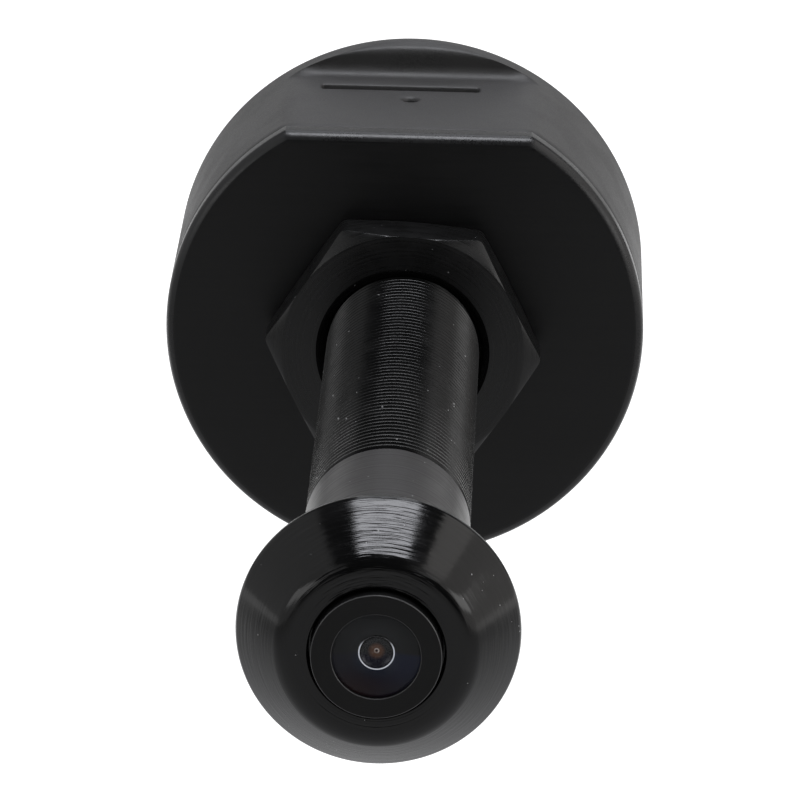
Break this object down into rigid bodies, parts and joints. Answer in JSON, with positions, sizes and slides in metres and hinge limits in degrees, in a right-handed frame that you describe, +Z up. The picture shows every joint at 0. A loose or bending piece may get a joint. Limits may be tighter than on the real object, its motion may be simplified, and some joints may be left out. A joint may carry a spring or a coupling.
{
  "type": "door viewer",
  "caption": "Camera door viewer: flared lens head on a threaded barrel, hexagon locking nut and a round indoor unit with a flat top, card slot and push button.",
  "frame": {"origin": "on the barrel's axis, in the plane where the head's seal meets the door's outer face", "axes": "+Y through the door into the room, +Z up, +X to the right for someone standing outside"},
  "size_m": [0.044, 0.105, 0.044],
  "materials": {
    "bezel_black": "gloss black anodised, turned",
    "barrel_black": "satin black anodised",
    "seal_rubber": "soft matte",
    "lens_black": "matte black anodised",
    "lens_glass": "coated optical glass",
    "filter_glass": "coated filter glass",
    "holder_plastic": "moulded",
    "chip_black": "chip package",
    "board_green": "lacquered circuit board",
    "connector_white": "moulded",
    "ribbon_amber": "flat cable film",
    "washer_nylon": "smooth nylon",
    "nut_black": "satin black anodised, machined",
    "plate_black": "black anodised, finely brushed",
    "socket_metal": "turned",
    "screw_steel": "zinc plated",
    "housing_plastic": "fine moulded texture",
    "cover_plastic": "fine moulded texture",
    "button_plastic": "smooth moulded",
    "can_metal": "tinned sheet",
    "card_black": "moulded",
    "switch_plastic": "moulded",
    "plunger_white": "moulded",
    "clear_plastic": "clear acrylic",
    "battery_foil": "crinkled foil pouch",
    "foam_grey": "closed-cell foam",
    "wire_red": "insulated wire"
  },
  "bodies": {
    "viewer": {"outer_bezel": "bezel_black", "bezel_seal": "seal_rubber", "barrel": "barrel_black", "lens_barrel": "lens_black", "front_lens": "lens_glass", "second_lens": "lens_glass", "aperture_stop": "lens_black", "rear_lens": "lens_glass", "lens_retainer": "lens_black", "lens_seal": "seal_rubber", "lens_holder": "holder_plastic", "ir_filter": "filter_glass", "image_sensor": "chip_black", "camera_board": "board_green", "camera_connector": "connector_white", "ribbon_cable": "ribbon_amber", "ribbon_plug": "connector_white"},
    "washer": {"clamp_washer": "washer_nylon"},
    "nut": {"lock_nut": "nut_black"},
    "indoor_unit": {"mounting_plate": "plate_black", "barrel_socket": "socket_metal", "grub_screw": "screw_steel", "main_housing": "housing_plastic", "rear_cover": "cover_plastic", "cover_screws": "screw_steel", "main_board": "board_green", "ribbon_socket": "connector_white", "processor_can": "can_metal", "wifi_module": "can_metal", "antenna": "connector_white", "card_socket": "can_metal", "reset_switch": "switch_plastic", "power_switch": "switch_plastic", "status_led": "plunger_white", "status_light_guide": "clear_plastic", "speaker": "holder_plastic", "speaker_gasket": "foam_grey", "microphone": "can_metal", "usb_socket": "can_metal", "battery": "battery_foil", "battery_foam": "foam_grey", "battery_leads": "wire_red", "battery_connector": "connector_white"},
    "card": {"memory_card": "card_black"},
    "reset": {"reset_plunger": "plunger_white"},
    "button": {"power_button": "button_plastic"}
  },
  "joints": [
    {"name": "washer_slide", "type": "slide", "parent": "viewer", "child": "washer", "axis": [0, 1, 0], "range_m": [-0.0442, 0]},
    {"name": "nut_turn", "type": "hinge", "parent": "washer", "child": "nut", "pos_m": [0, 0, 0], "axis": [0, 1, 0], "range_deg": [-18725, 0]},
    {"name": "unit_pull_off", "type": "slide", "parent": "viewer", "child": "indoor_unit", "axis": [0, 1, 0], "range_m": [0, 0.03]},
    {"name": "card_slide", "type": "slide", "parent": "indoor_unit", "child": "card", "axis": [0, 0, 1], "range_m": [0, 0.0145]},
    {"name": "reset_press", "type": "slide", "parent": "indoor_unit", "child": "reset", "axis": [0, 0, -1], "range_m": [0, 0.00025], "stiffness_N_per_m": 4000},
    {"name": "button_press", "type": "slide", "parent": "indoor_unit", "child": "button", "axis": [0, -1, 0], "range_m": [0, 0.0006], "stiffness_N_per_m": 1500}
  ],
  "couplings": [
    {"joint": "nut_turn", "follows": "washer_slide", "rad_per_m": 7392}
  ]
}
